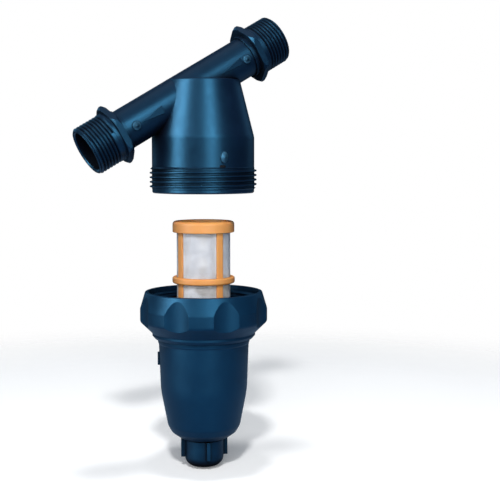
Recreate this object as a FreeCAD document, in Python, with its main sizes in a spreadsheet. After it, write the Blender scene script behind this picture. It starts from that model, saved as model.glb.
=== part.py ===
"""In-line plastic strainer for one-inch pipe, shown taken apart along its bowl axis.

Every sub-part is drawn about the bowl axis, at its height above the head's rim with
the strainer screwed together. Its Placement then puts it into the part's own frame,
where the origin is the middle of the inlet hexagon's outer face. The cartridge and the
bowl group are lowered along the axis by their own travel, so the model rests apart.
"""
import FreeCAD, Part
import math
import os
import re
import Sketcher
from FreeCAD import Placement, Rotation, Vector

# Driving dimensions in millimetres and degrees.
DIMENSIONS = {
    # through pipe and its two threaded ports
    "pipe_tilt": 30.0, "pipe_radius": 13.3, "bore_radius": 10.5,
    "inlet_arm": 61.7, "outlet_arm": 92.7, "crossing_height": 73.0,
    "port_thread_radius": 16.42, "port_land_radius": 16.62, "port_root_radius": 15.15,
    "port_thread_length": 17.8, "port_length": 20.2, "port_pitch": 2.309,
    "port_crest_flat": 0.4, "port_root_flat": 0.34, "port_flank_slope": 0.55,
    "port_mouth_radius": 13.3, "port_mouth_depth": 11.0, "port_chamfer": 1.2,
    "mouth_chamfer": 0.8,
    "hex_width": 36.0, "hex_length": 4.0, "hex_corner_radius": 20.4,
    "hex_face_radius": 18.9, "hex_chamfer": 1.3,
    "collar_radius": 14.6, "collar_length": 2.6,
    "inlet_bore_end": 18.0, "outlet_bore_end": 23.1,
    # head
    "rim_radius": 33.9, "rim_chamfer": 0.7, "rim_land": 2.5,
    "head_thread_radius": 35.5, "head_thread_root": 34.1, "head_thread_top": 17.0,
    "head_radius": 34.0, "knee_height": 36.8, "knee_blend": 8.0,
    "cone_top_radius": 24.5, "head_height": 74.3, "cone_top_edge": 1.0,
    "cavity_radius": 30.8, "cavity_height": 36.0, "cavity_top_radius": 26.2,
    "cavity_top_height": 56.0,
    "socket_outer_radius": 23.6, "socket_radius": 21.0, "socket_mouth": 43.0,
    "seat_height": 52.0, "well_radius": 17.3, "well_top": 71.5, "well_wall_radius": 20.0,
    # raised marks on the head
    "pad_radius": 3.0, "mark_relief": 0.45, "mark_root": 2.0,
    "arrow_start": 3.9, "arrow_length": 17.0, "arrow_half_width": 3.0,
    "outlet_pad_place": 59.2, "inlet_pad_place": 29.8,
    "badge_height": 23.5, "badge_half_width": 2.7, "badge_half_height": 4.0,
    # union thread between head and ring nut
    "main_pitch": 3.0, "ridge_half_width": 0.6, "flank_slope": 0.25,
    "union_travel": 21.0, "cartridge_travel": 69.0, "overcut": 0.4,
    # cartridge
    "cage_top": 50.3, "cage_collar_height": 7.5, "window_height": 29.8,
    "cage_band_height": 4.3, "cage_collar_radius": 20.65, "cage_band_radius": 20.9,
    "cage_mouth_radius": 16.8, "collar_round": 2.2, "band_round": 1.2,
    "cage_round": 0.5, "rib_radius": 19.0, "rib_angle": 14.6, "rib_count": 4.0,
    "rib_direction": -78.4, "notch_direction": 4.6, "notch_width": 2.4,
    "notch_depth": 1.6, "sleeve_lap": 2.6,
    "end_ring_height": 7.1, "end_ring_bore": 16.6,
    "screen_radius": 17.97, "screen_thickness": 0.4, "seam_half_width": 1.6,
    "seam_thickness": 0.3,
    # flat and round seals
    "gasket_thickness": 1.5,
    "seat_ring_radius": 18.7, "seat_ring_section": 0.9, "seat_ring_proud": 0.25,
    # bowl
    "flange_radius": 33.4, "flange_top": -0.4, "flange_thickness": 3.8,
    "flange_chamfer": 1.4,
    "bowl_collar_radius": 31.0, "bowl_collar_bottom": -8.3, "bowl_shoulder": -10.2,
    "bowl_radius": 30.3, "bowl_waist_height": -43.0, "bowl_waist_radius": 29.1,
    "bowl_hip_height": -66.6, "bowl_hip_radius": 24.5, "bowl_heel_height": -71.3,
    "bowl_heel_radius": 22.0, "bowl_base": -75.2, "bowl_base_radius": 16.5,
    "bowl_waist_round": 60.0, "bowl_hip_round": 5.0, "bowl_heel_round": 5.0,
    "bowl_wall": 2.8, "bowl_floor": -71.0, "pedestal_top": -62.9,
    "pedestal_radius": 20.2, "pedestal_bore": 16.6,
    "bowl_seal_radius": 31.8, "bowl_seal_section": 0.9, "bowl_seal_proud": 0.1,
    "grip_rib_top": -17.0, "grip_rib_bottom": -25.7, "grip_rib_relief": 0.9,
    "grip_rib_width": 2.0, "grip_rib_direction": 159.0,
    # ring nut
    "nut_top": 24.0, "nut_bottom": -7.4, "nut_rim_radius": 39.3, "nut_radius": 42.7,
    "nut_flare_height": 12.6, "nut_belt_bottom": 4.2, "nut_neck_height": -3.7,
    "nut_neck_radius": 34.6, "nut_neck_length": 1.6, "nut_foot_radius": 32.8,
    "nut_mouth_radius": 37.1, "nut_thread_top": 18.0,
    "nut_thread_bottom": 3.0, "nut_crest_radius": 34.45, "nut_root_radius": 35.9,
    "nut_relief_radius": 36.05, "nut_floor": -4.5, "nut_hole_radius": 31.35,
    "nut_flange_play": 0.3, "nut_belt_round": 2.5, "nut_rim_round": 0.7,
    "flute_place": 62.0, "flute_radius": 22.0, "flute_count": 8.0,
    "flute_direction": -3.0,
    # drain nipple and cap
    "nipple_radius": 9.0, "nipple_root_radius": 7.9, "nipple_bore": 5.0,
    "nipple_bottom": -90.0, "nipple_thread_top": -78.0, "drain_pitch": 2.0,
    "drain_ridge_half_width": 0.35,
    "cap_top": -76.4, "cap_bottom": -95.1, "cap_radius": 13.1, "cap_corner": 6.6,
    "cap_crest_radius": 8.2, "cap_root_radius": 9.35, "cap_relief_radius": 9.5,
    "cap_thread_bottom": -87.0, "cap_rib_radius": 15.9, "cap_rib_thickness": 2.3,
    "cap_rib_bottom": -88.6, "cap_rib_direction": -12.5, "cap_rib_count": 4.0,
    "drain_gasket_thickness": 1.5, "drain_gasket_bore": 4.6, "drain_gasket_play": 0.2,
}

ALIASES = re.compile(r"\b(" + "|".join(sorted(DIMENSIONS, key=len, reverse=True)) + r")\b")
FULL_TURN = 360.0

document = FreeCAD.newDocument("Strainer")
sheet = document.addObject("Spreadsheet::Sheet", "Dims")
for row, (name, value) in enumerate(DIMENSIONS.items(), start=1):
    sheet.set(f"A{row}", name)
    sheet.set(f"B{row}", str(value))
    sheet.setAlias(f"B{row}", name)
document.recompute()


def bound(expression):
    """The expression with every dimension's name pointed at the spreadsheet."""
    return ALIASES.sub(r"Dims.\1", str(expression))


def measure(expression):
    """The value of an expression over the driving dimensions."""
    result = sheet.evalExpression(str(expression))
    return float(getattr(result, "Value", result))


def bind(thing, prop, expression):
    """Bind one property of a document object to the spreadsheet."""
    thing.setExpression(prop, bound(expression))


def new_body(node, drop="0"):
    """A sub-part drawn about the bowl axis, then placed in the part's frame."""
    body = document.addObject("PartDesign::Body", node)
    body.Label = node
    bind(body, "Placement.Base.x", "-(inlet_arm - port_length) * cos(pipe_tilt * 1deg)")
    bind(body, "Placement.Base.z",
         "-(inlet_arm - port_length) * sin(pipe_tilt * 1deg) - crossing_height"
         f" - ({drop})")
    return body


def new_sketch(body, name, role="XZ_Plane", offset=None):
    """A sketch on one of the body's own origin planes."""
    sketch = body.newObject("Sketcher::SketchObject", f"{body.Name}_{name}")
    plane = [item for item in body.Origin.OriginFeatures if item.Role == role][0]
    sketch.AttachmentSupport = [(plane, "")]
    sketch.MapMode = "FlatFace"
    if offset is not None:
        sketch.AttachmentOffset = offset
    return sketch


def pin_coordinate(sketch, kind, geometry, vertex, expression):
    """Hold one coordinate of a vertex at an expression, measured from the origin."""
    value = measure(expression)
    if abs(value) < 1e-9:
        axis = -2 if kind == "DistanceX" else -1
        sketch.addConstraint(Sketcher.Constraint("PointOnObject", geometry, vertex, axis))
        return
    index = sketch.addConstraint(
        Sketcher.Constraint(kind, -1, 1, geometry, vertex, value))
    sketch.setExpression(f"Constraints[{index}]", bound(expression))


def draw_outline(sketch, points):
    """Draw a closed outline whose corners are pairs of expressions."""
    corners = [Vector(measure(across), measure(up), 0) for across, up in points]
    count = len(corners)
    lines = []
    for index, corner in enumerate(corners):
        segment = Part.LineSegment(corner, corners[(index + 1) % count])
        lines.append(sketch.addGeometry(segment))
    for index, line in enumerate(lines):
        follower = lines[(index + 1) % count]
        sketch.addConstraint(Sketcher.Constraint("Coincident", line, 2, follower, 1))
    for line, (across, up) in zip(lines, points):
        pin_coordinate(sketch, "DistanceX", line, 1, across)
        pin_coordinate(sketch, "DistanceY", line, 1, up)


def draw_circle(sketch, across, up, radius):
    """Draw a circle whose centre and radius are expressions."""
    centre = Vector(measure(across), measure(up), 0)
    circle = sketch.addGeometry(Part.Circle(centre, Vector(0, 0, 1), measure(radius)))
    pin_coordinate(sketch, "DistanceX", circle, 3, across)
    pin_coordinate(sketch, "DistanceY", circle, 3, up)
    index = sketch.addConstraint(Sketcher.Constraint("Radius", circle, measure(radius)))
    sketch.setExpression(f"Constraints[{index}]", bound(radius))


def draw_pipe_axis(sketch):
    """A construction line along the pipe, through the crossing; the sketch's Axis0."""
    tilt = math.radians(measure("pipe_tilt"))
    start = Vector(0, measure("crossing_height"), 0)
    end = start + Vector(math.cos(tilt), math.sin(tilt), 0) * measure("inlet_arm")
    line = sketch.addGeometry(Part.LineSegment(start, end), True)
    pin_coordinate(sketch, "DistanceX", line, 1, "0")
    pin_coordinate(sketch, "DistanceY", line, 1, "crossing_height")
    pin_coordinate(sketch, "DistanceX", line, 2, "inlet_arm * cos(pipe_tilt * 1deg)")
    pin_coordinate(sketch, "DistanceY", line, 2,
                   "crossing_height + inlet_arm * sin(pipe_tilt * 1deg)")


def on_pipe(points):
    """Turn (place along the pipe, radius) pairs into the head's own coordinates."""
    return [(f"({along}) * cos(pipe_tilt * 1deg) - ({out}) * sin(pipe_tilt * 1deg)",
             f"crossing_height + ({along}) * sin(pipe_tilt * 1deg)"
             f" + ({out}) * cos(pipe_tilt * 1deg)") for along, out in points]


def turn(body, kind, name, points, about_pipe=False):
    """A Revolution or Groove of an outline about the bowl axis or the pipe axis."""
    sketch = new_sketch(body, name + "_outline")
    if about_pipe:
        draw_outline(sketch, on_pipe(points))
        draw_pipe_axis(sketch)
        axis = "Axis0"
    else:
        draw_outline(sketch, points)
        axis = "V_Axis"
    document.recompute()
    feature = body.newObject(f"PartDesign::{kind}", f"{body.Name}_{name}")
    feature.Profile = sketch
    feature.ReferenceAxis = (sketch, [axis])
    feature.Angle = FULL_TURN
    body.Tip = feature


def round_edges(body, name, circles, radius):
    """Round the turned edges that lie at the given (radius, height) pairs."""
    document.recompute()
    base = body.Tip
    wanted = [(measure(across), measure(up)) for across, up in circles]
    chosen = []
    for number, edge in enumerate(base.Shape.Edges, start=1):
        if not isinstance(edge.Curve, Part.Circle):
            continue
        circle = edge.Curve
        for across, up in wanted:
            if abs(circle.Radius - across) < 0.01 and abs(circle.Center.z - up) < 0.01:
                chosen.append(f"Edge{number}")
    fillet = body.newObject("PartDesign::Fillet", f"{body.Name}_{name}")
    fillet.Base = (base, chosen)
    bind(fillet, "Radius", radius)
    body.Tip = fillet


def groove_outline(middle, pitch, ridge_half_width, root, crest):
    """A thread groove's section: sloped flanks that leave ridges of the given width."""
    root_half = f"({pitch}) / 2 - ({ridge_half_width}) - flank_slope"
    crest_half = f"({pitch}) / 2 - ({ridge_half_width}) + flank_slope"
    return [(root, f"({middle}) - ({root_half})"), (crest, f"({middle}) - ({crest_half})"),
            (crest, f"({middle}) + ({crest_half})"), (root, f"({middle}) + ({root_half})")]


def cut_thread(body, name, outline, pitch, length, about_pipe=False, backwards=False):
    """Cut a right-hand helical groove from an outline about an axis."""
    sketch = new_sketch(body, name + "_outline")
    if about_pipe:
        draw_outline(sketch, on_pipe([(along, out) for out, along in outline]))
        draw_pipe_axis(sketch)
        axis = "Axis0"
    else:
        draw_outline(sketch, outline)
        axis = "V_Axis"
    document.recompute()
    thread = body.newObject("PartDesign::SubtractiveHelix", f"{body.Name}_{name}")
    thread.Profile = sketch
    thread.ReferenceAxis = (sketch, [axis])
    thread.Mode = 0
    bind(thread, "Pitch", pitch)
    bind(thread, "Height", length)
    thread.Reversed = backwards
    thread.LeftHanded = False
    body.Tip = thread


def pad_sketch(body, name, sketch, length, kind="Pad", reversed_way=False):
    """Pad or pocket a drawn sketch by a bound length."""
    document.recompute()
    feature = body.newObject(f"PartDesign::{kind}", f"{body.Name}_{name}")
    feature.Profile = sketch
    feature.Reversed = reversed_way
    bind(feature, "Length", length)
    body.Tip = feature
    return feature


def pattern(body, name, feature, count):
    """Repeat a feature all round the bowl axis."""
    document.recompute()
    polar = body.newObject("PartDesign::PolarPattern", f"{body.Name}_{name}")
    polar.Originals = [feature]
    axis = [item for item in body.Origin.OriginFeatures if item.Role == "Z_Axis"][0]
    polar.Axis = (axis, [""])
    polar.Angle = FULL_TURN
    polar.Occurrences = int(measure(count))
    body.Tip = polar


def turned_offset(direction, height="0"):
    """A sketch offset that turns the XY plane by a direction and lifts it."""
    return Placement(Vector(0, 0, measure(height)),
                     Rotation(Vector(0, 0, 1), measure(direction)))


# ---------------------------------------------------------------- head and its gasket
def port_outline(sign, arm):
    """Threaded port, land, and collar round the pipe, on one side of the crossing."""
    face = f"{sign} * ({arm})"
    land = f"{sign} * (({arm}) - port_thread_length)"
    hex_face = f"{sign} * (({arm}) - port_length)"
    collar_end = f"{sign} * (({arm}) - port_length - hex_length - collar_length)"
    return [(face, "0"), (face, "port_thread_radius - port_chamfer"),
            (f"{face} - {sign} * port_chamfer", "port_thread_radius"),
            (land, "port_thread_radius"), (land, "port_land_radius"),
            (hex_face, "port_land_radius"), (hex_face, "collar_radius"),
            (collar_end, "collar_radius"), (collar_end, "0")]


def add_port(body, name, sign, arm):
    """One port: turned shape, hexagon and its pipe thread."""
    turn(body, "Revolution", f"{name}_port", port_outline(sign, arm), about_pipe=True)
    add_hexagon(body, name, sign, arm)


def pipe_offset(along):
    """Stand a sketch of the YZ plane square to the pipe at a place along it."""
    tilt = math.radians(measure("pipe_tilt"))
    place = measure(along)
    spot = Vector(0, measure("crossing_height") + place * math.sin(tilt),
                  place * math.cos(tilt))
    return Placement(spot, Rotation(Vector(1, 0, 0), -measure("pipe_tilt")))


def add_hexagon(body, name, sign, arm):
    """Hexagon with its corners chamfered, one of them up, behind the port thread."""
    start = f"{arm} - port_length - hex_length" if sign > 0 else f"-({arm} - port_length)"
    sketch = new_sketch(body, f"{name}_hex_outline", "YZ_Plane", pipe_offset(start))
    corners = []
    for step in range(6):
        angle = f"{FULL_TURN * step / 6} * 1deg"
        corners.append((f"hex_width / sqrt(3) * sin({angle})",
                        f"hex_width / sqrt(3) * cos({angle})"))
    draw_outline(sketch, corners)
    pad_sketch(body, f"{name}_hex", sketch, "hex_length")
    outer = f"{arm} - port_length"
    inner = f"{arm} - port_length - hex_length"
    rounding_outline = [
        (f"{sign} * ({outer} + 1)", "hex_width"),
        (f"{sign} * ({outer} + 1)", "hex_face_radius"),
        (f"{sign} * ({outer})", "hex_face_radius"),
        (f"{sign} * ({outer} - hex_chamfer)", "hex_corner_radius"),
        (f"{sign} * ({inner} + hex_chamfer)", "hex_corner_radius"),
        (f"{sign} * ({inner})", "hex_face_radius"),
        (f"{sign} * ({inner} - 1)", "hex_face_radius"),
        (f"{sign} * ({inner} - 1)", "hex_width")]
    turn(body, "Groove", f"{name}_hex_rounding", rounding_outline, about_pipe=True)


def cut_port_thread(body, name, sign, arm):
    """Pipe thread cut into one port, from beyond its end face to its plain land."""
    outer = "port_thread_radius + overcut"
    beyond = f"{sign} * ({arm} + port_pitch)"
    root_half = "port_root_flat / 2"
    crest_half = "(port_pitch - port_crest_flat) / 2 + overcut * port_flank_slope"
    outline = [("port_root_radius", f"({beyond}) - ({root_half})"),
               (outer, f"({beyond}) - ({crest_half})"),
               (outer, f"({beyond}) + ({crest_half})"),
               ("port_root_radius", f"({beyond}) + ({root_half})")]
    length = "port_thread_length + port_pitch / 2"
    cut_thread(body, f"{name}_thread", outline, "port_pitch", length,
               about_pipe=True, backwards=sign > 0)


def add_pipe_mark(body, name, place):
    """Round ejector pad with a raised flow arrow beside it, on the pipe's front."""
    tilt = math.radians(measure("pipe_tilt"))
    front = measure("pipe_radius - mark_root")
    centre = Vector(place * math.cos(tilt),
                    measure("crossing_height") + place * math.sin(tilt), front)
    offset = Placement(centre, Rotation(Vector(0, 0, 1), measure("pipe_tilt")))
    pad = new_sketch(body, f"{name}_pad_outline", "XZ_Plane", offset)
    draw_circle(pad, "0", "0", "pad_radius")
    pad_sketch(body, f"{name}_pad", pad, "mark_root + mark_relief")
    return offset


def add_arrow(body, name, offset, points):
    """Raised flow arrow: a slim triangle that points down the flow."""
    sketch = new_sketch(body, f"{name}_arrow_outline", "XZ_Plane", offset)
    draw_outline(sketch, points)
    pad_sketch(body, f"{name}_arrow", sketch, "mark_root + mark_relief * 0.6")


def make_head():
    """Bell, through pipe, ports, socket, flow passages, threads and raised marks."""
    body = new_body("head_body")
    turn(body, "Revolution", "bell", [
        ("0", "0"), ("rim_radius - rim_chamfer", "0"), ("rim_radius", "rim_chamfer"),
        ("rim_radius", "rim_land"), ("head_thread_radius", "rim_land + 1.4"),
        ("head_thread_radius", "head_thread_top - 1.4"),
        ("head_radius", "head_thread_top + 0.1"),
        ("head_radius", "knee_height"), ("cone_top_radius", "head_height"),
        ("0", "head_height")])
    round_edges(body, "knee", [("head_radius", "knee_height")], "knee_blend")
    round_edges(body, "cone_edge", [("cone_top_radius", "head_height")], "cone_top_edge")
    turn(body, "Revolution", "pipe", [
        ("-(outlet_arm - port_length)", "0"), ("-(outlet_arm - port_length)", "pipe_radius"),
        ("inlet_arm - port_length", "pipe_radius"), ("inlet_arm - port_length", "0")],
        about_pipe=True)
    add_port(body, "inlet", 1, "inlet_arm")
    add_port(body, "outlet", -1, "outlet_arm")
    inlet_mark = add_pipe_mark(body, "inlet", measure("inlet_pad_place"))
    outlet_mark = add_pipe_mark(body, "outlet", -measure("outlet_pad_place"))
    add_arrow(body, "inlet", inlet_mark, [
        ("-arrow_start", "arrow_half_width"), ("-arrow_start - arrow_length", "0"),
        ("-arrow_start", "-arrow_half_width * 0.5")])
    add_arrow(body, "outlet", outlet_mark, [
        ("arrow_start + arrow_length", "arrow_half_width * 0.9"),
        ("arrow_start", "0"), ("arrow_start + arrow_length", "-arrow_half_width * 0.8")])
    badge_depth = Vector(0, 0, measure("head_radius - mark_root"))
    badge = new_sketch(body, "badge_outline", "XZ_Plane",
                       Placement(badge_depth, Rotation()))
    steps = 16
    ring = []
    for step in range(steps):
        angle = f"{FULL_TURN * step / steps} * 1deg"
        ring.append((f"badge_half_width * cos({angle})",
                     f"badge_height + badge_half_height * sin({angle})"))
    draw_outline(badge, ring)
    pad_sketch(body, "badge", badge, "mark_root + mark_relief")
    turn(body, "Groove", "cavity", [
        ("0", "-1"), ("cavity_radius", "-1"), ("cavity_radius", "cavity_height"),
        ("cavity_top_radius", "cavity_top_height"), ("0", "cavity_top_height")])
    turn(body, "Groove", "outlet_bore", [
        ("-outlet_arm - 1", "0"),
        ("-outlet_arm - 1", "port_mouth_radius + mouth_chamfer + 1"),
        ("-outlet_arm + mouth_chamfer", "port_mouth_radius"),
        ("-outlet_arm + port_mouth_depth", "port_mouth_radius"),
        ("-outlet_arm + port_mouth_depth + 2", "bore_radius"),
        ("-outlet_bore_end", "bore_radius"), ("-outlet_bore_end", "0")], about_pipe=True)
    turn(body, "Revolution", "socket", [
        ("well_radius - 2", "seat_height"), ("socket_radius", "seat_height"),
        ("socket_radius", "socket_mouth + 1"), ("socket_radius + 1", "socket_mouth"),
        ("socket_outer_radius", "socket_mouth"),
        ("socket_outer_radius", "cavity_top_height + 0.5"),
        ("well_wall_radius", "cavity_top_height + 0.5"),
        ("well_wall_radius", "cavity_top_height + 10"),
        ("well_radius - 2", "cavity_top_height + 10")])
    turn(body, "Groove", "well", [
        ("0", "seat_height - 1"), ("well_radius", "seat_height - 1"),
        ("well_radius", "well_top"), ("0", "well_top")])
    turn(body, "Groove", "inlet_bore", [
        ("inlet_arm + 1", "0"),
        ("inlet_arm + 1", "port_mouth_radius + mouth_chamfer + 1"),
        ("inlet_arm - mouth_chamfer", "port_mouth_radius"),
        ("inlet_arm - port_mouth_depth", "port_mouth_radius"),
        ("inlet_arm - port_mouth_depth - 2", "bore_radius"),
        ("-inlet_bore_end", "bore_radius"), ("-inlet_bore_end", "0")], about_pipe=True)
    cut_thread(body, "union_thread",
               groove_outline("-main_pitch / 2", "main_pitch", "ridge_half_width",
                              "head_thread_root", "head_thread_radius + overcut"),
               "main_pitch", "head_thread_top + main_pitch")
    cut_port_thread(body, "inlet", 1, "inlet_arm")
    cut_port_thread(body, "outlet", -1, "outlet_arm")
    return body


def make_ring(node, inner, outer, bottom, top, drop="0"):
    """A plain turned ring."""
    body = new_body(node, drop)
    turn(body, "Revolution", "ring", [(inner, bottom), (outer, bottom), (outer, top),
                                      (inner, top)])
    return body


def make_o_ring(node, radius, section, height, drop):
    """A round-section seal."""
    body = new_body(node, drop)
    sketch = new_sketch(body, "section")
    draw_circle(sketch, radius, height, section)
    document.recompute()
    ring = body.newObject("PartDesign::Revolution", f"{node}_ring")
    ring.Profile = sketch
    ring.ReferenceAxis = (sketch, ["V_Axis"])
    ring.Angle = FULL_TURN
    body.Tip = ring
    return body


# ---------------------------------------------------------------- cartridge
CAGE_FOOT = "cage_top - cage_collar_height - 3 * window_height - 2 * cage_band_height"
SLEEVE_FOOT = f"{CAGE_FOOT} - sleeve_lap"
SLEEVE_TOP = "cage_top - cage_collar_height + sleeve_lap"
CAGE_INSIDE = "screen_radius + 0.03"


def make_cage():
    """Top collar, two bands and four ribs, moulded as one."""
    body = new_body("cartridge_cage", "cartridge_travel")
    collar_foot = "cage_top - cage_collar_height"
    turn(body, "Revolution", "collar", [
        (CAGE_INSIDE, collar_foot), ("cage_collar_radius", collar_foot),
        ("cage_collar_radius", "cage_top"), ("cage_mouth_radius", "cage_top"),
        ("cage_mouth_radius", SLEEVE_TOP), (CAGE_INSIDE, SLEEVE_TOP)])
    round_edges(body, "collar_top", [("cage_collar_radius", "cage_top")], "collar_round")
    round_edges(body, "collar_edges", [("cage_collar_radius", collar_foot),
                                       ("cage_mouth_radius", "cage_top")], "cage_round")
    rib = new_sketch(body, "rib_outline", "XY_Plane",
                     turned_offset("rib_direction", SLEEVE_FOOT))
    half = "rib_angle / 2 * 1deg"
    draw_outline(rib, [
        (f"({CAGE_INSIDE}) * cos({half})", f"-({CAGE_INSIDE}) * sin({half})"),
        (f"rib_radius * cos({half})", f"-rib_radius * sin({half})"),
        ("rib_radius", f"-rib_radius * sin({half}) / 2"),
        ("rib_radius", f"rib_radius * sin({half}) / 2"),
        (f"rib_radius * cos({half})", f"rib_radius * sin({half})"),
        (f"({CAGE_INSIDE}) * cos({half})", f"({CAGE_INSIDE}) * sin({half})"),
        (CAGE_INSIDE, f"({CAGE_INSIDE}) * sin({half}) / 2"),
        (CAGE_INSIDE, f"-({CAGE_INSIDE}) * sin({half}) / 2")])
    first = pad_sketch(body, "rib", rib, f"{collar_foot} + 1 - ({SLEEVE_FOOT})")
    pattern(body, "ribs", first, "rib_count")
    for number in (1, 2):
        top = (f"{collar_foot} - {number} * window_height"
               f" - {number - 1} * cage_band_height")
        foot = f"{top} - cage_band_height"
        turn(body, "Revolution", f"band_{number}", [
            (CAGE_INSIDE, foot), ("cage_band_radius", foot), ("cage_band_radius", top),
            (CAGE_INSIDE, top)])
        round_edges(body, f"band_{number}_edges", [
            ("cage_band_radius", foot), ("cage_band_radius", top)], "band_round")
    notch = new_sketch(body, "notch_outline", "XY_Plane",
                       turned_offset("notch_direction", "cage_top"))
    draw_outline(notch, [
        ("cage_mouth_radius - 2", "-notch_width / 2"),
        ("cage_mouth_radius + 1.8", "-notch_width / 2"),
        ("cage_mouth_radius + 1.8", "notch_width / 2"),
        ("cage_mouth_radius - 2", "notch_width / 2")])
    pad_sketch(body, "notch", notch, "notch_depth", kind="Pocket")
    return body


def make_end_ring():
    """Lower ring that closes the cage and carries the cartridge's round seal."""
    body = new_body("cartridge_end_ring", "cartridge_travel")
    foot = f"{CAGE_FOOT} - end_ring_height"
    seal = "seat_ring_radius"
    half = "seat_ring_section + 0.05"
    depth = "2 * seat_ring_section - seat_ring_proud"
    turn(body, "Revolution", "ring", [
        ("rib_radius + 0.03", CAGE_FOOT), ("cage_collar_radius", CAGE_FOOT),
        ("cage_collar_radius", f"{foot} + 0.5"), ("cage_collar_radius - 0.5", foot),
        (f"{seal} + {half}", foot), (f"{seal} + {half}", f"{foot} + {depth}"),
        (f"{seal} - ({half})", f"{foot} + {depth}"), (f"{seal} - ({half})", foot),
        ("end_ring_bore", foot), ("end_ring_bore", SLEEVE_FOOT),
        ("rib_radius + 0.03", SLEEVE_FOOT)])
    return body


def make_screen_seam():
    """Lap seam strip down the inside of the screen, behind one rib."""
    body = new_body("screen_seam", "cartridge_travel")
    sketch = new_sketch(body, "strip_outline", "XY_Plane",
                        turned_offset("rib_direction", SLEEVE_FOOT))
    inner = "screen_radius - screen_thickness - seam_thickness"
    outer = "screen_radius - screen_thickness - 0.09"
    draw_outline(sketch, [(inner, "-seam_half_width"), (outer, "-seam_half_width"),
                          (outer, "seam_half_width"), (inner, "seam_half_width")])
    pad_sketch(body, "strip", sketch, f"({SLEEVE_TOP}) - ({SLEEVE_FOOT})")
    return body


# ---------------------------------------------------------------- bowl group
BOWL_DROP = "cartridge_travel + union_travel"


def make_bowl():
    """Flanged bowl with seal groove, cartridge pedestal and threaded drain nipple."""
    body = new_body("bowl_shell", BOWL_DROP)
    flange_foot = "flange_top - flange_thickness"
    half = "bowl_seal_section + 0.1"
    groove_floor = "flange_top + bowl_seal_proud - 2 * bowl_seal_section"
    turn(body, "Revolution", "wall", [
        ("bowl_collar_radius - bowl_wall", "flange_top"),
        (f"bowl_seal_radius - ({half})", "flange_top"),
        (f"bowl_seal_radius - ({half})", groove_floor),
        (f"bowl_seal_radius + {half}", groove_floor),
        (f"bowl_seal_radius + {half}", "flange_top"),
        ("flange_radius", "flange_top"),
        ("flange_radius", f"{flange_foot} + flange_chamfer"),
        ("flange_radius - flange_chamfer", flange_foot),
        ("bowl_collar_radius", flange_foot), ("bowl_collar_radius", "bowl_collar_bottom"),
        ("bowl_radius + 0.5", "bowl_shoulder"), ("bowl_radius", "bowl_shoulder - 0.8"),
        ("bowl_waist_radius", "bowl_waist_height"),
        ("bowl_hip_radius", "bowl_hip_height"), ("bowl_heel_radius", "bowl_heel_height"),
        ("bowl_base_radius", "bowl_base"), ("nipple_radius + 1.2", "bowl_base"),
        ("nipple_root_radius - 0.1", "bowl_base - 0.6"),
        ("nipple_root_radius - 0.1", "nipple_thread_top + 0.6"),
        ("nipple_radius", "nipple_thread_top - 0.6"),
        ("nipple_radius", "nipple_bottom + 0.8"),
        ("nipple_radius - 0.8", "nipple_bottom"),
        ("nipple_bore", "nipple_bottom"), ("nipple_bore", "bowl_floor - 1"),
        ("pedestal_bore", "bowl_floor"), ("pedestal_bore", "pedestal_top"),
        ("pedestal_radius", "pedestal_top"), ("pedestal_radius", "bowl_hip_height - 1.5"),
        ("bowl_hip_radius - bowl_wall", "bowl_hip_height + 0.6"),
        ("bowl_waist_radius - bowl_wall", "bowl_waist_height"),
        ("bowl_collar_radius - bowl_wall", "bowl_shoulder")])
    round_edges(body, "waist", [("bowl_waist_radius", "bowl_waist_height")],
                "bowl_waist_round")
    round_edges(body, "hip", [("bowl_hip_radius", "bowl_hip_height")], "bowl_hip_round")
    round_edges(body, "heel", [("bowl_heel_radius", "bowl_heel_height")],
                "bowl_heel_round")
    rib = new_sketch(body, "grip_rib_outline", "XY_Plane",
                     turned_offset("grip_rib_direction", "grip_rib_bottom"))
    draw_outline(rib, [
        ("bowl_waist_radius - 1", "-grip_rib_width / 2"),
        ("bowl_radius + grip_rib_relief", "-grip_rib_width / 2"),
        ("bowl_radius + grip_rib_relief", "grip_rib_width / 2"),
        ("bowl_waist_radius - 1", "grip_rib_width / 2")])
    pad_sketch(body, "grip_rib", rib, "grip_rib_top - grip_rib_bottom")
    cut_thread(body, "drain_thread",
               groove_outline("nipple_bottom - drain_pitch / 2", "drain_pitch",
                              "drain_ridge_half_width", "nipple_root_radius",
                              "nipple_radius + 0.3"),
               "drain_pitch", "nipple_thread_top - nipple_bottom + drain_pitch * 1.5")
    return body


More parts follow.
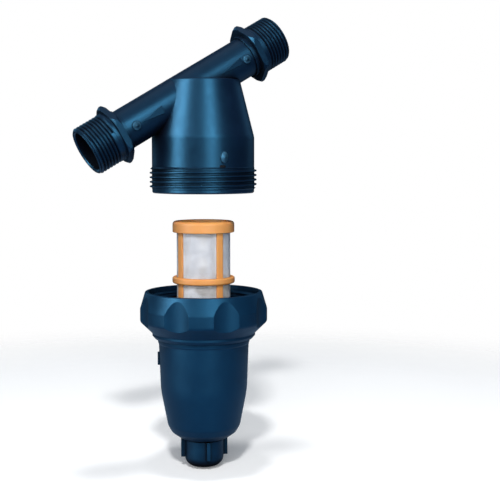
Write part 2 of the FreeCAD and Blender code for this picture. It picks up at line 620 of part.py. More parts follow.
def make_ring_nut():
    """Union nut: flared belt with eight flutes and a coarse internal thread."""
    body = new_body("ring_nut", BOWL_DROP)
    turn(body, "Revolution", "belt", [
        ("nut_mouth_radius", "nut_top"), ("nut_rim_radius", "nut_top"),
        ("nut_radius", "nut_flare_height"), ("nut_radius", "nut_belt_bottom"),
        ("nut_neck_radius", "nut_neck_height"),
        ("nut_neck_radius", "nut_neck_height - nut_neck_length"),
        ("nut_foot_radius", "nut_bottom"), ("nut_hole_radius", "nut_bottom"),
        ("nut_hole_radius", "nut_floor"),
        ("flange_radius + nut_flange_play - flange_chamfer", "nut_floor"),
        ("flange_radius + nut_flange_play", "nut_floor + flange_chamfer"),
        ("flange_radius + nut_flange_play", "flange_top - 0.1"),
        ("nut_relief_radius", "nut_thread_bottom - 2"),
        ("nut_relief_radius", "nut_thread_bottom - 1.6"),
        ("nut_crest_radius", "nut_thread_bottom"), ("nut_crest_radius", "nut_thread_top"),
        ("nut_relief_radius", "nut_thread_top + 1.6"),
        ("nut_mouth_radius", "nut_thread_top + 2.4")])
    round_edges(body, "belt_edges", [("nut_radius", "nut_flare_height"),
                                     ("nut_radius", "nut_belt_bottom")], "nut_belt_round")
    round_edges(body, "rim_edges", [("nut_rim_radius", "nut_top"),
                                    ("nut_foot_radius", "nut_bottom")], "nut_rim_round")
    sketch = new_sketch(body, "flute_outline", "XY_Plane",
                        turned_offset("flute_direction", "nut_bottom"))
    draw_circle(sketch, "flute_place", "0", "flute_radius")
    flute = pad_sketch(body, "flute", sketch, "nut_top - nut_bottom", kind="Pocket",
                       reversed_way=True)
    pattern(body, "flutes", flute, "flute_count")
    document.recompute()
    overrun = "nut_thread_bottom - main_pitch"
    outline = groove_outline(overrun, "main_pitch", "ridge_half_width",
                             "nut_root_radius", "nut_crest_radius - overcut")
    cut_thread(body, "union_thread", outline, "main_pitch",
               "nut_thread_top - nut_thread_bottom + 2.5 * main_pitch")
    return body


def make_drain_cap():
    """Ribbed screw cap on the drain nipple."""
    body = new_body("drain_cap", BOWL_DROP)
    seat = "nipple_bottom - drain_gasket_play - drain_gasket_thickness - 0.02"
    turn(body, "Revolution", "cup", [
        ("cap_relief_radius", "cap_top"), ("cap_radius - 0.5", "cap_top"),
        ("cap_radius", "cap_top - 0.5"), ("cap_radius", "cap_bottom"),
        ("0", "cap_bottom"), ("0", seat), ("cap_relief_radius", seat),
        ("cap_relief_radius", "cap_thread_bottom - 1"),
        ("cap_crest_radius", "cap_thread_bottom"), ("cap_crest_radius", "cap_top - 1.4"),
        ("cap_relief_radius", "cap_top - 0.2")])
    round_edges(body, "corner", [("cap_radius", "cap_bottom")], "cap_corner")
    rib = new_sketch(body, "rib_outline", "XY_Plane",
                     turned_offset("cap_rib_direction", "cap_rib_bottom"))
    draw_outline(rib, [
        ("cap_radius - 1", "-cap_rib_thickness / 2"),
        ("cap_rib_radius", "-cap_rib_thickness / 2"),
        ("cap_rib_radius", "cap_rib_thickness / 2"),
        ("cap_radius - 1", "cap_rib_thickness / 2")])
    first = pad_sketch(body, "rib", rib, "cap_top - cap_rib_bottom")
    pattern(body, "ribs", first, "cap_rib_count")
    document.recompute()
    outline = groove_outline("cap_thread_bottom - drain_pitch * 1.5", "drain_pitch",
                             "drain_ridge_half_width", "cap_root_radius",
                             "cap_crest_radius - 0.3")
    cut_thread(body, "drain_thread", outline, "drain_pitch",
               "cap_top - cap_thread_bottom + drain_pitch * 2.5")
    return body


def make_all():
    """Every sub-part, in the order that the strainer is put together."""
    seat_ring_height = (f"{CAGE_FOOT} - end_ring_height"
                        " + seat_ring_section - seat_ring_proud")
    return [
        make_head(),
        make_ring("socket_gasket", "well_radius + 0.2", "socket_radius - 0.1",
                  "seat_height - gasket_thickness", "seat_height"),
        make_cage(),
        make_end_ring(),
        make_ring("screen_sleeve", "screen_radius - screen_thickness", "screen_radius",
                  SLEEVE_FOOT, SLEEVE_TOP, "cartridge_travel"),
        make_screen_seam(),
        make_o_ring("cartridge_seat_ring", "seat_ring_radius", "seat_ring_section",
                    seat_ring_height, "cartridge_travel"),
        make_bowl(),
        make_o_ring("bowl_o_ring", "bowl_seal_radius", "bowl_seal_section",
                    "flange_top + bowl_seal_proud - bowl_seal_section", BOWL_DROP),
        make_ring_nut(),
        make_ring("drain_gasket", "drain_gasket_bore", "cap_relief_radius - 0.3",
                  "nipple_bottom - drain_gasket_play - drain_gasket_thickness",
                  "nipple_bottom - drain_gasket_play", BOWL_DROP),
        make_drain_cap(),
    ]


bodies = make_all()
document.recompute()

for item in document.Objects:
    faults = {"Invalid", "Error"} & set(item.State)
    if faults:
        raise RuntimeError(f"{item.Name} failed: {sorted(faults)}")

for body in bodies:
    shape = body.Shape
    if shape.isNull() or not shape.isValid():
        raise RuntimeError(f"{body.Label} has no valid shape")
    print(f"{body.Label}: {len(shape.Solids)} solid, {shape.Volume / 1000:.2f} cm3,"
          f" {len(shape.Faces)} faces")

os.makedirs("parts", exist_ok=True)
for body in bodies:
    body.Shape.exportStep(os.path.join("parts", body.Label + ".step"))
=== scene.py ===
"""Looks of a one-inch plastic cartridge strainer, shown apart along its bowl axis.

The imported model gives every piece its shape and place. This script gives each of them
its finish, weaves the screen, adds the small moulding marks, and sets up a pale studio.
"""
import logging
import math
from dataclasses import dataclass, field
from enum import Enum

import bmesh
import bpy
from mathutils import Matrix, Vector


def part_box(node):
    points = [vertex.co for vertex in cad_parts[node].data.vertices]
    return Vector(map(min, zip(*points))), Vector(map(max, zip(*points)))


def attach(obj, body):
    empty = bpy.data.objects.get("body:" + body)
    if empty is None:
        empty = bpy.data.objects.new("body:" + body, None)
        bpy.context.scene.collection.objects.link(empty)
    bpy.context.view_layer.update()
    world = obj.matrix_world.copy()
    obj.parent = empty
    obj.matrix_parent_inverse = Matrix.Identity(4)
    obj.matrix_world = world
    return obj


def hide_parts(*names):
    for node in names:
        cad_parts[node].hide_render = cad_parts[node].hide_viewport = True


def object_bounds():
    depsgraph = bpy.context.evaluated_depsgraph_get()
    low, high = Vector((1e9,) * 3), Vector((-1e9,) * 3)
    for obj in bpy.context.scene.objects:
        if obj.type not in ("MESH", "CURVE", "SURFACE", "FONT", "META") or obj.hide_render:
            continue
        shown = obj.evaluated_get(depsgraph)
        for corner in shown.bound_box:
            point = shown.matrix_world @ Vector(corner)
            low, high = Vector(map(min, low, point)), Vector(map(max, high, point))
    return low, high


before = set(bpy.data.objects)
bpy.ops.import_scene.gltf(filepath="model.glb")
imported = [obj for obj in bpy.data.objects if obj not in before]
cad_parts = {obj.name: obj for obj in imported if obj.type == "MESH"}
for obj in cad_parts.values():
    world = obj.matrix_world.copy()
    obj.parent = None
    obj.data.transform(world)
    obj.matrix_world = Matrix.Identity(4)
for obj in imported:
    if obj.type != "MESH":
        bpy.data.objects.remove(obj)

CAD_LOW, CAD_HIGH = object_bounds()
MM = 0.001
FULL_TURN = 2 * math.pi
NOISE_ROUGHNESS = 0.55
BEVEL_SAMPLES = 6
# ambient occlusion samples for the painted crevice shade
PAINTED_SHADE_SAMPLES = 8
SCATTER_DEPTH = 1.5 * MM
DISC_SEGMENTS = 28
SCAR_SEGMENTS = 14
SENSOR_WIDTH = 36.0
AXIS_NODE = "bowl_shell"

log = logging.getLogger("strainer")


# ------------------------------------------------------------------ shader building
class Signal:
    """A number in a shader, joined to others with Python's own operators."""

    def __init__(self, graph: "Graph", socket: bpy.types.NodeSocket) -> None:
        """Wrap an output socket.

        Args:
            graph: The node graph that the socket belongs to.
            socket: The output whose value this signal stands for.
        """
        self.graph = graph
        self.socket = socket

    def __add__(self, other: "Signal | float") -> "Signal":
        """This plus other."""
        return self.graph.math("ADD", self, other)

    __radd__ = __add__

    def __sub__(self, other: "Signal | float") -> "Signal":
        """This minus other."""
        return self.graph.math("SUBTRACT", self, other)

    def __rsub__(self, other: "Signal | float") -> "Signal":
        """Other minus this."""
        return self.graph.math("SUBTRACT", other, self)

    def __mul__(self, other: "Signal | float") -> "Signal":
        """This times other."""
        return self.graph.math("MULTIPLY", self, other)

    def clamped(self) -> "Signal":
        """This held between 0 and 1."""
        node = self.graph.add("Clamp", {}, {"Value": self})
        return Signal(self.graph, node.outputs[0])

    def ramped(self, low: float, high: float) -> "Signal":
        """A smooth step from 0 at low to 1 at high.

        Args:
            low: Value at which the step starts.
            high: Value at which the step is complete.

        Returns:
            The stepped signal.
        """
        node = self.graph.add("MapRange", {"interpolation_type": "SMOOTHSTEP"},
                              {"Value": self, "From Min": low, "From Max": high})
        return Signal(self.graph, node.outputs["Result"])


class Graph:
    """The node tree of one material or world, emptied and ready to be built."""

    def __init__(self, tree: bpy.types.NodeTree) -> None:
        """Take over a node tree.

        Args:
            tree: The tree to empty and build in.
        """
        self.tree = tree
        tree.nodes.clear()

    def add(self, kind: str, settings: dict, inputs: dict) -> bpy.types.Node:
        """Add one node.

        Args:
            kind: The node's type without its ShaderNode prefix.
            settings: Attributes set before the inputs.
            inputs: Socket name or number to a value, socket or signal.

        Returns:
            The new node.
        """
        node = self.tree.nodes.new("ShaderNode" + kind)
        for name, value in settings.items():
            setattr(node, name, value)
        for name, value in inputs.items():
            self.feed(node.inputs[name], value)
        return node

    def feed(self, target: bpy.types.NodeSocket, value: object) -> None:
        """Link or set one input socket."""
        if isinstance(value, Signal):
            value = value.socket
        if isinstance(value, bpy.types.NodeSocket):
            self.tree.links.new(value, target)
        else:
            target.default_value = value

    def show(self, shader: bpy.types.NodeSocket, kind: str = "OutputMaterial") -> None:
        """Put a shader on the surface.

        Args:
            shader: The shader's socket.
            kind: The output node's type without its prefix.
        """
        output = self.add(kind, {}, {})
        self.feed(output.inputs["Surface"], shader)

    def place(self) -> bpy.types.NodeSocket:
        """Coordinates fixed to the piece."""
        return self.add("TexCoord", {}, {}).outputs["Object"]

    def camera_sight(self) -> Signal:
        """1 where the camera looks straight at the surface, 0 for all other light."""
        return Signal(self, self.add("LightPath", {}, {}).outputs["Is Camera Ray"])

    def math(self, operation: str, *terms: "Signal | float") -> Signal:
        """One Math node over its terms."""
        node = self.add("Math", {"operation": operation}, dict(enumerate(terms)))
        return Signal(self, node.outputs[0])

    def mix(self, share: Signal, first: object, second: object) -> bpy.types.NodeSocket:
        """Blend two colours.

        Args:
            share: How much of the second colour shows.
            first: Colour or socket at share 0.
            second: Colour or socket at share 1.

        Returns:
            The mixed colour's socket.
        """
        node = self.tree.nodes.new("ShaderNodeMix")
        node.data_type = "RGBA"
        self.feed(node.inputs[0], share)
        self.feed(node.inputs[6], first)
        self.feed(node.inputs[7], second)
        return node.outputs[2]

    def noise(self, place: bpy.types.NodeSocket, scale: float, detail: float) -> Signal:
        """Smooth random values from 0 to 1.

        Args:
            place: Coordinates that the pattern is fixed to.
            scale: Cells to the metre.
            detail: Octaves of finer pattern.

        Returns:
            The pattern's value.
        """
        node = self.add("TexNoise", {}, {"Vector": place, "Scale": scale,
                                         "Detail": detail,
                                         "Roughness": NOISE_ROUGHNESS})
        return Signal(self, node.outputs["Fac"])


def new_material(name: str) -> tuple[bpy.types.Material, Graph]:
    """An empty node material and its graph.

    Args:
        name: The material's name.

    Returns:
        The material, and the graph to build it in.
    """
    material = bpy.data.materials.new(name)
    material.use_nodes = True
    return material, Graph(material.node_tree)


Colour = tuple[float, float, float, float]


# ------------------------------------------------------------------ finishes
@dataclass(frozen=True)
class MouldedPlastic:
    """Injection-moulded plastic: a fine grain, soft edges, edges rubbed paler, and painted
    shade darkening its crevices.
    """

    name: str
    colour: Colour
    deep_colour: Colour
    rubbed_colour: Colour
    sheen_tint: Colour = (1, 1, 1, 1)
    roughness: float = 0.34
    specular: float = 1.0
    edge_radius: float = 0.35 * MM
    grain_scale: float = 2600.0
    grain_depth: float = 0.012 * MM
    cloud_scale: float = 38.0
    subsurface: float = 0.0
    # painted shade: colour, reach and ambient occlusion limits of the dark shader laid into
    # crevices
    painted_shade_colour: Colour = (0.0012, 0.0014, 0.0030, 1)
    painted_shade_reach: float = 40 * MM
    painted_shade_shut: float = 0.28
    painted_shade_open: float = 0.88

    def material(self) -> bpy.types.Material:
        """Build the finish.

        Returns:
            The finished material.
        """
        material, graph = new_material(self.name)
        place = graph.place()
        clouds = graph.noise(place, self.cloud_scale, 4.0)
        speckle = graph.noise(place, self.grain_scale, 2.0)
        smear = graph.noise(place, self.cloud_scale * 6, 3.0)

        rounded = graph.add("Bevel", {"samples": BEVEL_SAMPLES}, {"Radius": self.edge_radius})
        flat = graph.add("NewGeometry", {}, {}).outputs["Normal"]
        agreement = graph.add("VectorMath", {"operation": "DOT_PRODUCT"},
                              {0: rounded.outputs[0], 1: flat})
        edge = (1 - Signal(graph, agreement.outputs["Value"])).ramped(0.01, 0.2)
        rubbed = (edge * smear.ramped(0.3, 0.75) * 0.55).clamped()

        body = graph.mix(clouds.ramped(0.3, 0.75), self.deep_colour, self.colour)
        colour = graph.mix(rubbed, body, self.rubbed_colour)
        roughness = (self.roughness + (smear - 0.5) * 0.16
                     + (clouds - 0.5) * 0.10 + rubbed * 0.1).clamped()
        bump = graph.add("Bump", {}, {
            "Strength": 1.0, "Distance": self.grain_depth,
            "Height": speckle, "Normal": rounded.outputs[0]})
        shader = graph.add("BsdfPrincipled", {}, {
            "Base Color": colour, "Roughness": roughness,
            "Specular IOR Level": self.specular, "Specular Tint": self.sheen_tint,
            "Normal": bump.outputs[0],
            "Subsurface Weight": self.subsurface, "Subsurface Scale": SCATTER_DEPTH})
        # Painted shade: where ambient occlusion finds little room, a near-black shader is
        # blended in, standing in for the shade in grooves, joints and hollows.
        painted_shade = graph.add("BsdfPrincipled", {}, {
            "Base Color": self.painted_shade_colour, "Roughness": 0.7,
            "Specular IOR Level": 0.05})
        room = graph.add("AmbientOcclusion", {"samples": PAINTED_SHADE_SAMPLES},
                         {"Distance": self.painted_shade_reach})
        openness = Signal(graph, room.outputs["AO"]).ramped(
            self.painted_shade_shut, self.painted_shade_open)
        both = graph.add("MixShader", {}, {0: openness, 1: painted_shade.outputs[0],
                                           2: shader.outputs[0]})
        graph.show(both.outputs[0])
        return material


@dataclass(frozen=True)
class WovenWire:
    """Fine bright wire with small changes of tone, and painted shade in a few darker patches
    that stand in for creases.
    """

    name: str
    colour: Colour
    deep_colour: Colour
    # painted shade standing in for creases: its colour and the scale of its patches
    crease_shade_colour: Colour
    crease_shade_scale: float = 34.0
    metallic: float = 0.1
    roughness: float = 0.42

    def material(self) -> bpy.types.Material:
        """Build the finish.

        Returns:
            The finished material.
        """
        material, graph = new_material(self.name)
        place = graph.place()
        tone = graph.noise(place, 60.0, 3.0)
        glint = graph.noise(place, 900.0, 1.0)
        even = graph.mix(tone.ramped(0.35, 0.7), self.deep_colour, self.colour)
        # Painted shade: a coarse noise darkens patches of the weave to stand in for the shade
        # in creases.
        crease_shade = graph.noise(place, self.crease_shade_scale, 2.0)
        colour = graph.mix(crease_shade.ramped(0.56, 0.62), even, self.crease_shade_colour)
        roughness = (self.roughness + (glint - 0.5) * 0.2).clamped()
        shader = graph.add("BsdfPrincipled", {}, {
            "Base Color": colour, "Roughness": roughness, "Metallic": self.metallic})
        graph.show(shader.outputs[0])
        return material


@dataclass(frozen=True)
class SealRubber:
    """Black rubber with a bloom of pale dust."""

    name: str
    colour: Colour
    bloom_colour: Colour
    grain_depth: float = 0.015 * MM

    def material(self) -> bpy.types.Material:
        """Build the finish.

        Returns:
            The finished material.
        """
        material, graph = new_material(self.name)
        place = graph.place()
        bloom = graph.noise(place, 180.0, 4.0)
        grain = graph.noise(place, 3000.0, 2.0)
        colour = graph.mix(bloom.ramped(0.5, 0.85), self.colour, self.bloom_colour)
        bump = graph.add("Bump", {}, {"Strength": 1.0, "Distance": self.grain_depth,
                                      "Height": grain})
        shader = graph.add("BsdfPrincipled", {}, {
            "Base Color": colour, "Roughness": 0.55 + bloom * 0.2,
            "Normal": bump.outputs[0]})
        graph.show(shader.outputs[0])
        return material


@dataclass(frozen=True)
class StudioPaper:
    """Pale floor paper that ends softly and gives the object only a dim, cool light."""

    name: str
    colour: Colour
    shade_colour: Colour
    given_colour: Colour
    glow: float = 0.16
    fade_start: float = 0.33
    fade_end: float = 0.62

    def material(self) -> bpy.types.Material:
        """Build the finish.

        Returns:
            The finished material.
        """
        material, graph = new_material(self.name)
        place = graph.place()
        fibre = graph.noise(place, 4.0, 4.0)
        seen = graph.mix(fibre.ramped(0.3, 0.8), self.shade_colour, self.colour)
        colour = graph.mix(graph.camera_sight(), self.given_colour, seen)
        paper = graph.add("BsdfPrincipled", {}, {
            "Base Color": colour, "Roughness": 0.9, "Specular IOR Level": 0.1,
            "Emission Color": (1, 1, 1, 1), "Emission Strength": self.glow})
        reach = graph.add("VectorMath", {"operation": "LENGTH"}, {0: place})
        fade = Signal(graph, reach.outputs["Value"]).ramped(self.fade_start, self.fade_end)
        clear = graph.add("BsdfTransparent", {}, {})
        both = graph.add("MixShader", {}, {0: fade, 1: paper.outputs[0],
                                           2: clear.outputs[0]})
        graph.show(both.outputs[0])
        return material


PETROL_SHEEN = (0.12, 0.55, 0.98, 1)
SKY_TINT = (0.3, 0.62, 1, 1)
RIM_BLUE = (0.25, 0.65, 1.0)
HEAD_PLASTIC = MouldedPlastic(
    "head_petrol_plastic", (0.0025, 0.006, 0.018, 1), (0.0018, 0.004, 0.012, 1),
    (0.010, 0.035, 0.070, 1), sheen_tint=PETROL_SHEEN, roughness=0.38)
# The bowl's painted crevice shade reaches 26 mm.
BOWL_PLASTIC = MouldedPlastic(
    "bowl_petrol_plastic", (0.0025, 0.017, 0.042, 1), (0.002, 0.012, 0.032, 1),
    (0.010, 0.050, 0.095, 1), sheen_tint=PETROL_SHEEN, roughness=0.42, specular=0.7,
    painted_shade_reach=26 * MM)
RUBBED_PLASTIC = MouldedPlastic(
    "rubbed_petrol_plastic", (0.030, 0.090, 0.150, 1), (0.020, 0.065, 0.115, 1),
    (0.060, 0.140, 0.200, 1), sheen_tint=PETROL_SHEEN, roughness=0.5)
HEAD_PLASTIC_TORN = MouldedPlastic(
    "torn_petrol_plastic", (0.001, 0.0015, 0.004, 1), (0.001, 0.001, 0.002, 1),
    (0.004, 0.012, 0.024, 1), roughness=0.7, specular=0.2, grain_depth=0.05 * MM)
# The cage's painted crevice shade is a darker orange and reaches only 5 mm.
CAGE_PLASTIC = MouldedPlastic(
    "cage_orange_plastic", (0.76, 0.335, 0.095, 1), (0.71, 0.295, 0.078, 1),
    (0.85, 0.43, 0.15, 1), roughness=0.5, specular=0.4, edge_radius=0.3 * MM,
    subsurface=0.12, painted_shade_colour=(0.46, 0.20, 0.055, 1), painted_shade_reach=5 * MM,
    painted_shade_shut=0.2, painted_shade_open=0.8)
# The screen's last colour is the painted shade of its creases.
SCREEN_WIRE = WovenWire("screen_wire", (0.88, 0.89, 0.93, 1), (0.74, 0.75, 0.79, 1),
                        (0.62, 0.60, 0.59, 1))
RUBBER = SealRubber("seal_rubber", (0.012, 0.012, 0.014, 1), (0.05, 0.05, 0.052, 1))
PAPER = StudioPaper("studio_paper", (0.90, 0.90, 0.90, 1), (0.87, 0.87, 0.87, 1),
                    (0.06, 0.16, 0.28, 1))


def dress(piece: bpy.types.Object, material: bpy.types.Material) -> None:
    """Give a piece one material, replacing any that it came with."""
    if not piece.material_slots:
        piece.data.materials.append(material)
        return
    for slot in piece.material_slots:
        slot.material = material


def piece_from(name: str, mesh_maker: bmesh.types.BMesh, smooth: bool) -> bpy.types.Object:
    """Turn a built bmesh into a linked object.

    Args:
        name: The new piece's name.
        mesh_maker: The bmesh, which is used up.
        smooth: Whether its faces are shaded smooth.

    Returns:
        The new object.
    """
    mesh = bpy.data.meshes.new(name)
    bmesh.ops.recalc_face_normals(mesh_maker, faces=mesh_maker.faces)
    mesh_maker.to_mesh(mesh)
    mesh_maker.free()
    for polygon in mesh.polygons:
        polygon.use_smooth = smooth
    piece = bpy.data.objects.new(name, mesh)
    bpy.context.scene.collection.objects.link(piece)
    return piece


def disc_of(maker: bmesh.types.BMesh, profile: list[tuple[float, float]],
            segments: int) -> None:
    """Turn a profile about the Z axis into a disc that ends at its middle.

    Args:
        maker: The bmesh to build in.
        profile: Radius and height pairs, from the rim to the middle.
        segments: Faces round the disc.
    """
    rings = []
    for radius, height in profile[:-1]:
        ring = []
        for step in range(segments):
            angle = FULL_TURN * step / segments
            ring.append(maker.verts.new((radius * math.cos(angle),
                                         radius * math.sin(angle), height)))
        rings.append(ring)
    top = maker.verts.new((0, 0, profile[-1][1]))
    foot = maker.verts.new((0, 0, profile[0][1]))
    for step in range(segments):
        after = (step + 1) % segments
        for low, high in zip(rings, rings[1:]):
            maker.faces.new((low[step], low[after], high[after], high[step]))
        maker.faces.new((rings[-1][step], rings[-1][after], top))
        maker.faces.new((rings[0][after], rings[0][step], foot))


def middle(node: str) -> Vector:
    """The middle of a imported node's box."""
    low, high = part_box(node)
    return (Vector(low) + Vector(high)) / 2


# ------------------------------------------------------------------ sub-assemblies
@dataclass
class Head:
    """Bell-shaped head with its slanted through pipe and the flat seal inside."""

    node: str = "head_body"
    seal: str = "socket_gasket"
    body: str = "head"
    rim_height: float = -93.75 * MM
    crossing_height: float = 73.0 * MM
    pipe_tilt: float = 30.0
    pipe_face: float = 13.75 * MM
    bell_face: float = 34.0 * MM
    pad_radius: float = 2.75 * MM
    pad_places: tuple[float, ...] = (29.8 * MM, -59.2 * MM)
    badge_face: float = 34.45 * MM
    badge_height: float = 23.5 * MM
    badge_size: tuple[float, float] = (2.45 * MM, 3.7 * MM)
    badge_rise: float = 0.08 * MM
    gate_height: float = 17.6 * MM
    gate_offset: float = 1.0 * MM
    gate_sink: float = 0.1 * MM
    gate_radius: float = 1.5 * MM
    gate_stretch: tuple[float, float, float] = (1.5, 0.75, 1.0)

    def build(self) -> None:
        """Dress the head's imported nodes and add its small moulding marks."""
        dress(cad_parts[self.node], HEAD_PLASTIC.material())
        dress(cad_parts[self.seal], RUBBER.material())
        rubbed = RUBBED_PLASTIC.material()
        for number, place in enumerate(self.pad_places, start=1):
            self._pad_face(number, place, rubbed)
        self._badge_face(rubbed)
        self._gate_scar(HEAD_PLASTIC_TORN.material())
        log.info("head dressed, %d pad faces", len(self.pad_places))

    def _pad_face(self, number: int, place: float, finish: bpy.types.Material) -> None:
        """Lay a thin dished face on one of the pipe's round pads.

        Args:
            number: Which pad it is.
            place: Where the pad sits along the pipe, from the crossing.
            finish: The face's material.
        """
        tilt = math.radians(self.pipe_tilt)
        spot = Vector((place * math.cos(tilt), -self.pipe_face,
                       self.crossing_height + place * math.sin(tilt)))
        rings = ((1.0, 0.0), (0.96, 0.10), (0.78, 0.10), (0.70, 0.03), (0.0, 0.03))
        profile = [(share * self.pad_radius, rise * MM) for share, rise in rings]
        self._lay_mark(f"pad_face_{number}", profile, DISC_SEGMENTS, spot, (1, 1, 1), finish)

    def _badge_face(self, finish: bpy.types.Material) -> None:
        """Lay a thin bare face on the oval badge.

        Args:
            finish: The face's material.
        """
        half_width, half_height = self.badge_size
        profile = [(half_width, 0.0), (0.94 * half_width, self.badge_rise),
                   (0.0, self.badge_rise)]
        spot = Vector((0, -self.badge_face, self.badge_height))
        stretch = (1.0, half_height / half_width, 1.0)
        self._lay_mark("badge_face", profile, DISC_SEGMENTS, spot, stretch, finish)

    def _gate_scar(self, finish: bpy.types.Material) -> None:
        """Leave the torn stub of the moulding gate just under the oval badge.

        Args:
            finish: The scar's material.
        """
        rings = ((1.0, 0.0), (0.85, 0.25), (0.5, 0.42), (0.0, 0.36))
        profile = [(share * self.gate_radius, rise * MM) for share, rise in rings]
        spot = Vector((-self.gate_offset, self.gate_sink - self.bell_face,
                       self.gate_height))
        self._lay_mark("gate_scar", profile, SCAR_SEGMENTS, spot, self.gate_stretch, finish)

    def _lay_mark(self, name: str, profile: list[tuple[float, float]], segments: int,
                  spot: Vector, stretch: tuple[float, float, float],
                  finish: bpy.types.Material) -> None:
        """Lay one small turned mark on the head's front.

        Args:
            name: The mark's name.
            profile: Radius and height pairs, from the rim to the middle.
            segments: Faces round the mark.
            spot: Its middle, counted from the bowl axis and the head's rim.
            stretch: Its scale along its own axes.
            finish: Its material.
        """
        maker = bmesh.new()
        disc_of(maker, profile, segments)
        mark = piece_from(name, maker, smooth=True)
        mark.location = Vector((middle(AXIS_NODE).x, 0, self.rim_height)) + spot
        mark.rotation_euler = (math.pi / 2, 0, 0)
        mark.scale = stretch
        dress(mark, finish)
        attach(mark, self.body)


@dataclass
class Screen:
    """Woven wire sleeve: upright wires inside, hoops laid round them."""

    node: str = "screen_sleeve"
    seam: str = "screen_seam"
    body: str = "cartridge"
    pitch: float = 0.6 * MM
    wire_radius: float = 0.16 * MM
    hoop_segments: int = 80
    wire_sides: int = 4

    def build(self) -> None:
        """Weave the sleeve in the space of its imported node."""
        low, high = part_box(self.node)
        centre = middle(self.node)
        outer = (high[0] - low[0]) / 2
        maker = bmesh.new()
        hoop_radius = outer - self.wire_radius
        count = int((high[2] - low[2] - 2 * self.wire_radius) / self.pitch)
        for step in range(count + 1):
            height = low[2] + self.wire_radius + step * self.pitch
            self._hoop(maker, Vector((centre.x, centre.y, height)), hoop_radius)
        wires = int(FULL_TURN * hoop_radius / self.pitch)
        upright_radius = hoop_radius - 1.3 * self.wire_radius
        for step in range(wires):
            angle = FULL_TURN * step / wires
            foot = Vector((centre.x + upright_radius * math.cos(angle),
                           centre.y + upright_radius * math.sin(angle), low[2]))
            self._upright(maker, foot, high[2] - low[2])
        wire = SCREEN_WIRE.material()
        piece = piece_from("screen_weave", maker, smooth=True)
        dress(piece, wire)
        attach(piece, self.body)
        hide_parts(self.node)
        dress(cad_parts[self.seam], wire)
        log.info("screen woven: %d hoops, %d uprights", count + 1, wires)

    def _hoop(self, maker: bmesh.types.BMesh, centre: Vector, radius: float) -> None:
        """One closed round wire about the upright axis."""
        rings = []
        for step in range(self.hoop_segments):
            angle = FULL_TURN * step / self.hoop_segments
            out = Vector((math.cos(angle), math.sin(angle), 0))
            ring = []
            for side in range(self.wire_sides):
                turn = FULL_TURN * (side + 0.5) / self.wire_sides
                offset = (out * math.cos(turn) + Vector((0, 0, math.sin(turn))))
                ring.append(maker.verts.new(
                    centre + out * radius + offset * self.wire_radius))
            rings.append(ring)
        for index, ring in enumerate(rings):
            self._skin(maker, ring, rings[(index + 1) % len(rings)])

    def _upright(self, maker: bmesh.types.BMesh, foot: Vector, height: float) -> None:
        """One straight wire from foot upwards, closed at both ends."""
        ends = []
        for lift in (0.0, height):
            ring = []
            for side in range(self.wire_sides):
                turn = FULL_TURN * (side + 0.5) / self.wire_sides
                offset = Vector((math.cos(turn), math.sin(turn), 0)) * self.wire_radius
                ring.append(maker.verts.new(foot + offset + Vector((0, 0, lift))))
            ends.append(ring)
        self._skin(maker, ends[0], ends[1])
        maker.faces.new(list(reversed(ends[0])))
        maker.faces.new(ends[1])

    def _skin(self, maker: bmesh.types.BMesh, first: list, second: list) -> None:
        """Join two rings of points with a band of faces."""
        for side in range(self.wire_sides):
            after = (side + 1) % self.wire_sides
            maker.faces.new((first[side], first[after], second[after], second[side]))


@dataclass
class Cartridge:
    """Orange cage, its end ring and lower seal, with the screen inside."""

    cage_nodes: tuple[str, ...] = ("cartridge_cage", "cartridge_end_ring")
    seal: str = "cartridge_seat_ring"
    screen: Screen = field(default_factory=Screen)

    def build(self) -> None:
        """Dress the cage and weave the screen."""
        plastic = CAGE_PLASTIC.material()
        for node in self.cage_nodes:
            dress(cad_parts[node], plastic)
        dress(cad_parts[self.seal], RUBBER.material())
        self.screen.build()
        log.info("cartridge dressed")


@dataclass
class BowlGroup:
    """Bowl, its ring nut and seal, and the screw-on drain cap with its gasket."""

    plastic_nodes: tuple[str, ...] = ("bowl_shell", "ring_nut", "drain_cap")
    rubber_nodes: tuple[str, ...] = ("bowl_o_ring", "drain_gasket")

    def build(self) -> None:
        """Dress the bowl group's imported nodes."""
        plastic = BOWL_PLASTIC.material()
        for node in self.plastic_nodes:
            dress(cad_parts[node], plastic)
        rubber = RUBBER.material()
        for node in self.rubber_nodes:
            dress(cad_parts[node], rubber)
        log.info("bowl group dressed")


# ------------------------------------------------------------------ studio
class Shows(Enum):
    """Which part of a surface's light a panel gives."""

    EVERYWHERE = "matt and sheen"
    MATT_ONLY = "matt"
    SHEEN_ONLY = "sheen"


@dataclass(frozen=True)
class SoftPanel:
    """One softbox: where it stands round the object, how large and how bright it is."""

    name: str
    turn: float
    lift: float
    distance: float
    size: tuple[float, float]
    radiance: float
    colour: tuple[float, float, float] = (1.0, 1.0, 1.0)
    shows: Shows = Shows.EVERYWHERE

    def build(self, target: Vector, camera_azimuth: float) -> None:
        """Hang the softbox.

        Args:
            target: The point that it faces.
            camera_azimuth: The azimuth that its own turn is counted from, in degrees.
        """
        lamp = bpy.data.lights.new(self.name, "AREA")
        lamp.shape = "RECTANGLE"
        lamp.size, lamp.size_y = self.size
        lamp.energy = self.radiance * math.pi * self.size[0] * self.size[1]
        lamp.color = self.colour
        light = bpy.data.objects.new(self.name, lamp)
        light.visible_glossy = self.shows is not Shows.MATT_ONLY
        light.visible_diffuse = self.shows is not Shows.SHEEN_ONLY
        turn = math.radians(camera_azimuth + self.turn)
        lift = math.radians(self.lift)
        away = Vector((math.sin(turn) * math.cos(lift), -math.cos(turn) * math.cos(lift),
                       math.sin(lift)))
        light.location = target + away * self.distance
        light.rotation_euler = (-away).to_track_quat("-Z", "Y").to_euler()
        bpy.context.scene.collection.objects.link(light)


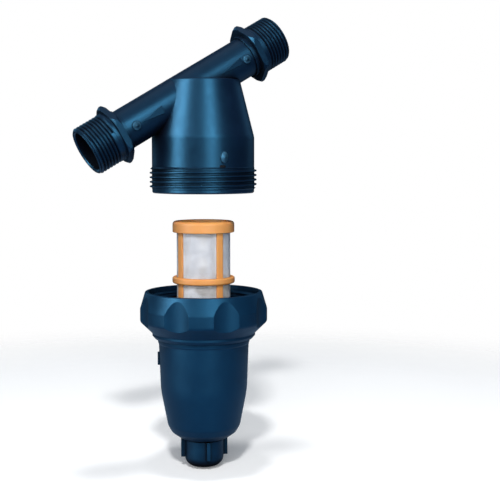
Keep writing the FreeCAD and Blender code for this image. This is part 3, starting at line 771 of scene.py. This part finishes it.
@dataclass
class Studio:
    """Pale floor, soft lights, pale surroundings and the camera."""

    azimuth: float = -23.3
    distance: float = 0.700
    eye_height: float = -0.0707
    pan: float = 2.55
    pitch: float = 5.02
    focal_length: float = 75.4
    floor_gap: float = 1.0 * MM
    floor_reach: float = 0.7
    surroundings: float = 0.08
    panels: tuple[SoftPanel, ...] = (
        SoftPanel("left_softbox", -60, 20, 1.4, (0.65, 1.1), 12.0,
                  shows=Shows.SHEEN_ONLY),
        SoftPanel("right_softbox", 20, 20, 1.4, (0.46, 1.1), 9.5,
                  shows=Shows.SHEEN_ONLY),
        SoftPanel("front_softbox", -8, 26, 1.6, (1.3, 1.1), 0.8),
        SoftPanel("top_softbox", 0, 88, 1.3, (1.3, 1.3), 0.4),
        SoftPanel("back_left_softbox", -140, 22, 1.4, (0.5, 1.0), 1.0, RIM_BLUE,
                  Shows.SHEEN_ONLY),
        SoftPanel("back_right_softbox", 130, 22, 1.4, (0.5, 1.0), 0.5, RIM_BLUE,
                  Shows.SHEEN_ONLY),
        SoftPanel("front_fill", -5, 12, 1.6, (0.9, 0.9), 5.2, shows=Shows.MATT_ONLY),
        SoftPanel("high_key", -3, 44, 1.6, (0.12, 0.12), 430, shows=Shows.MATT_ONLY),
        SoftPanel("overhead_key", -10, 85, 1.4, (0.16, 0.16), 110, shows=Shows.MATT_ONLY),
    )

    def build(self) -> None:
        """Set up everything that isn't the object."""
        self._floor()
        self._world()
        target = (CAD_LOW + CAD_HIGH) / 2
        for panel in self.panels:
            panel.build(target, self.azimuth)
        self._camera()
        bpy.context.scene.view_settings.view_transform = "Standard"
        log.info("studio ready")

    def _floor(self) -> None:
        """A flat sheet of paper just under the object."""
        maker = bmesh.new()
        bmesh.ops.create_grid(maker, x_segments=1, y_segments=1, size=self.floor_reach)
        spot = Vector((middle(AXIS_NODE).x, 0, CAD_LOW.z - self.floor_gap))
        floor = piece_from("floor_paper", maker, smooth=False)
        floor.location = spot
        dress(floor, PAPER.material())

    def _world(self) -> None:
        """White surroundings that light the object only gently."""
        world = bpy.data.worlds.new("studio_surroundings")
        world.use_nodes = True
        bpy.context.scene.world = world
        graph = Graph(world.node_tree)
        seen = graph.add("Background", {}, {"Color": (1, 1, 1, 1), "Strength": 1.0})
        given = graph.add("Background", {}, {"Color": SKY_TINT,
                                             "Strength": self.surroundings})
        both = graph.add("MixShader", {}, {0: graph.camera_sight(), 1: given.outputs[0],
                                           2: seen.outputs[0]})
        graph.show(both.outputs[0], "OutputWorld")

    def _camera(self) -> None:
        """Stand the camera in front, a little to the outlet's side."""
        lens = bpy.data.cameras.new("studio_camera")
        lens.lens = self.focal_length
        lens.sensor_width = SENSOR_WIDTH
        camera = bpy.data.objects.new("studio_camera", lens)
        bpy.context.scene.collection.objects.link(camera)
        turn = math.radians(self.azimuth)
        back = Vector((math.sin(turn), -math.cos(turn), 0))
        axis = middle(AXIS_NODE)
        camera.location = Vector((axis.x, axis.y, self.eye_height)) + back * self.distance
        level = Matrix.Rotation(-math.radians(self.pan), 3, "Z") @ -back
        down = math.radians(self.pitch)
        aim = level * math.cos(down) - Vector((0, 0, math.sin(down)))
        camera.rotation_euler = aim.to_track_quat("-Z", "Y").to_euler()
        bpy.context.scene.camera = camera


def main() -> None:
    """Build the object and its studio, in order."""
    logging.basicConfig(level=logging.INFO, format="%(name)s: %(message)s")
    for group in (Head(), Cartridge(), BowlGroup(), Studio()):
        group.build()


if __name__ == "__main__":
    main()
